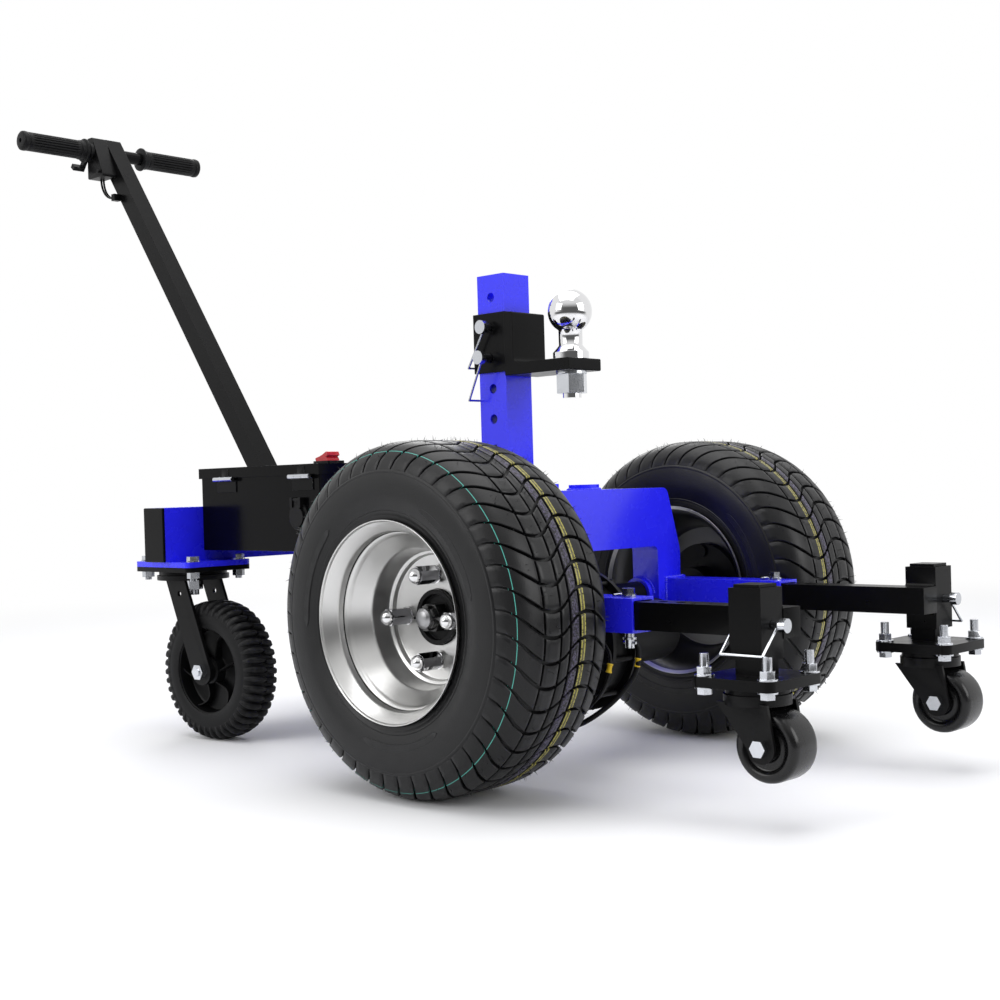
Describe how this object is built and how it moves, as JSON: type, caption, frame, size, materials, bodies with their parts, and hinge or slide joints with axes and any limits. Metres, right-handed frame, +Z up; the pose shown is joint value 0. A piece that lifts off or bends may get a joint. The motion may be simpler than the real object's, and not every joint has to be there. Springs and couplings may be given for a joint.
{
  "type": "trailer dolly",
  "caption": "Powered trailer dolly with driven tyres, height adjustable tow ball, sliding front arms on casters and a raked steering handle.",
  "frame": {"origin": "on the floor under the middle of the footprint", "axes": "+X forward to the front casters, +Y left, +Z up"},
  "size_m": [1.597, 0.708, 1.0126],
  "materials": {
    "blue_paint": "gloss",
    "black_paint": "semi-gloss",
    "chrome": "polished",
    "zinc": "bright zinc",
    "yellow_zinc": "yellow zinc",
    "steel": "machined",
    "silver_paint": "satin silver",
    "tyre_rubber": "moulded",
    "caster_rubber": "moulded",
    "grip_rubber": "satin",
    "box_plastic": "gloss",
    "black_plastic": "satin",
    "red_plastic": "gloss",
    "battery_plastic": "satin",
    "controller_metal": "anodised"
  },
  "bodies": {
    "chassis": {"front_bridge": "blue_paint", "frame_rails": "blue_paint", "rear_beam": "blue_paint", "beam_caps": "black_plastic", "hitch_post": "blue_paint", "arm_receivers": "blue_paint", "ball_bracket": "black_paint", "hitch_ball": "chrome", "ball_nut": "zinc", "arm_pins": "zinc", "gear_case": "black_paint", "case_bolts": "yellow_zinc", "motor_case": "black_paint", "battery_box": "box_plastic", "batteries": "battery_plastic", "controller": "controller_metal", "lid_hinges": "zinc", "charge_port": "box_plastic", "handle_socket": "black_paint", "frame_bolts": "zinc", "handle_tube": "black_paint", "grips": "grip_rubber", "throttle_box": "black_plastic", "handle_cable": "grip_rubber", "rear_caster_plates": "black_paint"},
    "upper_pin": {"upper_post_pin": "zinc"},
    "lower_pin": {"lower_post_pin": "zinc"},
    "rotor": {"armature": "steel"},
    "final_gear": {"ring_gear": "steel"},
    "lid": {"battery_lid": "box_plastic", "switch_surround": "box_plastic"},
    "switch_rocker": {"rocker": "red_plastic"},
    "port_flap": {"charge_cap": "box_plastic"},
    "thumb_lever": {"throttle_lever": "black_plastic"},
    "drive_wheel_left": {"tyre_left": "tyre_rubber", "rim_left": "silver_paint", "hub_left": "black_paint", "wheel_nuts_left": "chrome", "axle_shaft_left": "steel"},
    "rear_swivel_left": {"rear_fork_left": "black_paint"},
    "rear_roller_left": {"rear_wheel_left": "caster_rubber"},
    "front_arm_left": {"arm_left": "black_paint", "leg_left": "black_paint", "front_bolts_left": "zinc"},
    "leg_lock_left": {"leg_pin_left": "zinc"},
    "front_swivel_left": {"front_fork_left": "black_paint"},
    "front_roller_left": {"front_wheel_left": "caster_rubber"},
    "drive_wheel_right": {"tyre_right": "tyre_rubber", "rim_right": "silver_paint", "hub_right": "black_paint", "wheel_nuts_right": "chrome", "axle_shaft_right": "steel"},
    "rear_swivel_right": {"rear_fork_right": "black_paint"},
    "rear_roller_right": {"rear_wheel_right": "caster_rubber"},
    "front_arm_right": {"arm_right": "black_paint", "leg_right": "black_paint", "front_bolts_right": "zinc"},
    "leg_lock_right": {"leg_pin_right": "zinc"},
    "front_swivel_right": {"front_fork_right": "black_paint"},
    "front_roller_right": {"front_wheel_right": "caster_rubber"}
  },
  "joints": [
    {"name": "upper_pin_turn", "type": "hinge", "parent": "chassis", "child": "upper_pin", "pos_m": [0.20704, 0, 0.5776], "axis": [0, 1, 0], "range_deg": [0, 110]},
    {"name": "lower_pin_turn", "type": "hinge", "parent": "chassis", "child": "lower_pin", "pos_m": [0.20704, 0, 0.5362], "axis": [0, 1, 0], "range_deg": [0, 110]},
    {"name": "rotor_spin", "type": "hinge", "parent": "chassis", "child": "rotor", "pos_m": [0.38404, 0, 0.165], "axis": [0, 1, 0], "continuous": true},
    {"name": "final_gear_spin", "type": "hinge", "parent": "chassis", "child": "final_gear", "pos_m": [0.34404, 0, 0.209], "axis": [0, 1, 0], "continuous": true},
    {"name": "lid_hinge", "type": "hinge", "parent": "chassis", "child": "lid", "pos_m": [-0.10396, -0.199, 0.383], "axis": [1, 0, 0], "range_deg": [0, 100]},
    {"name": "rocker_tilt", "type": "hinge", "parent": "lid", "child": "switch_rocker", "pos_m": [0.00404, -0.15, 0.402], "axis": [0, 1, 0], "range_deg": [0, 40]},
    {"name": "port_flap_hinge", "type": "hinge", "parent": "chassis", "child": "port_flap", "pos_m": [-0.01096, -0.1973, 0.351], "axis": [-1, 0, 0], "range_deg": [0, 110]},
    {"name": "thumb_lever_pull", "type": "hinge", "parent": "chassis", "child": "thumb_lever", "pos_m": [-0.77096, 0, 0.987], "axis": [0, -1, 0], "range_deg": [0, 30], "stiffness_Nm_per_rad": 0.4, "springref_deg": -11.46},
    {"name": "drive_wheel_left_spin", "type": "hinge", "parent": "chassis", "child": "drive_wheel_left", "pos_m": [0.34404, 0.2685, 0.209], "axis": [0, 1, 0], "continuous": true},
    {"name": "rear_swivel_left_turn", "type": "hinge", "parent": "chassis", "child": "rear_swivel_left", "pos_m": [-0.26796, 0.195, 0.24], "axis": [0, 0, 1], "continuous": true},
    {"name": "rear_roller_left_spin", "type": "hinge", "parent": "rear_swivel_left", "child": "rear_roller_left", "pos_m": [-0.21396, 0.195, 0.1025], "axis": [0, 1, 0], "continuous": true},
    {"name": "front_arm_left_slide", "type": "slide", "parent": "chassis", "child": "front_arm_left", "axis": [1, 0, 0], "range_m": [-0.075, 0.075]},
    {"name": "leg_lock_left_turn", "type": "hinge", "parent": "front_arm_left", "child": "leg_lock_left", "pos_m": [0.73604, 0.186, 0.21], "axis": [1, 0, 0], "range_deg": [0, 90]},
    {"name": "front_swivel_left_turn", "type": "hinge", "parent": "front_arm_left", "child": "front_swivel_left", "pos_m": [0.73604, 0.186, 0.134], "axis": [0, 0, 1], "continuous": true},
    {"name": "front_roller_left_spin", "type": "hinge", "parent": "front_swivel_left", "child": "front_roller_left", "pos_m": [0.75764, 0.186, 0.0865], "axis": [0, 1, 0], "continuous": true},
    {"name": "drive_wheel_right_spin", "type": "hinge", "parent": "chassis", "child": "drive_wheel_right", "pos_m": [0.34404, -0.2685, 0.209], "axis": [0, 1, 0], "continuous": true},
    {"name": "rear_swivel_right_turn", "type": "hinge", "parent": "chassis", "child": "rear_swivel_right", "pos_m": [-0.26796, -0.195, 0.24], "axis": [0, 0, 1], "continuous": true},
    {"name": "rear_roller_right_spin", "type": "hinge", "parent": "rear_swivel_right", "child": "rear_roller_right", "pos_m": [-0.21421, -0.18973, 0.1025], "axis": [-0.0976, 0.9952, 0], "continuous": true},
    {"name": "front_arm_right_slide", "type": "slide", "parent": "chassis", "child": "front_arm_right", "axis": [1, 0, 0], "range_m": [-0.075, 0.075]},
    {"name": "leg_lock_right_turn", "type": "hinge", "parent": "front_arm_right", "child": "leg_lock_right", "pos_m": [0.73604, -0.186, 0.21], "axis": [-1, 0, 0], "range_deg": [0, 90]},
    {"name": "front_swivel_right_turn", "type": "hinge", "parent": "front_arm_right", "child": "front_swivel_right", "pos_m": [0.73604, -0.186, 0.134], "axis": [0, 0, 1], "continuous": true},
    {"name": "front_roller_right_spin", "type": "hinge", "parent": "front_swivel_right", "child": "front_roller_right", "pos_m": [0.75764, -0.186, 0.0865], "axis": [0, 1, 0], "continuous": true}
  ],
  "couplings": [
    {"joint": "final_gear_spin", "follows": "rotor_spin", "ratio": -0.2284}
  ]
}
